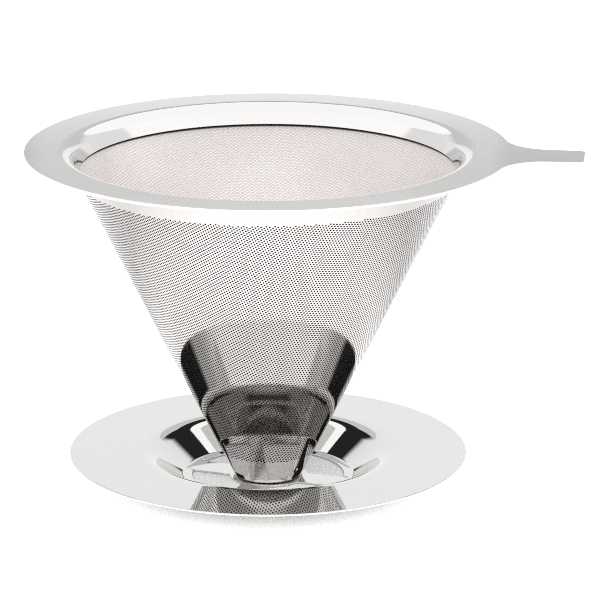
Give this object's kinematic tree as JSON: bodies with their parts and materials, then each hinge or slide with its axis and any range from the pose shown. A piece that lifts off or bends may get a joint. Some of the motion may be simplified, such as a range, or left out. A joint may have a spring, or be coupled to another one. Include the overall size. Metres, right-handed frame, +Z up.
{
  "type": "pour over coffee dripper",
  "caption": "Stainless steel pour over dripper: perforated double-walled filter cone with a flat rim and tab handle, standing on a recessed saucer base.",
  "frame": {"origin": "on the cone's axis, on the underside of the saucer's recessed floor, which is the surface the dripper stands on", "axes": "+Z up along the cone's axis, +X along the tab handle"},
  "size_m": [0.1438, 0.125, 0.0886],
  "materials": {
    "rim_steel": "fine satin-polished stainless sheet, bright collar",
    "cone_steel": "polished stainless sheet with a fine staggered pattern of round holes",
    "mesh_steel": "very fine plain-weave stainless wire mesh",
    "cup_steel": "pressed stainless sheet",
    "base_steel": "mirror-polished stainless sheet"
  },
  "bodies": {
    "root": {"top_flange": "rim_steel", "outer_cone": "cone_steel", "inner_filter": "mesh_steel", "bottom_cup": "cup_steel", "base_plate": "base_steel"}
  },
  "joints": []
}
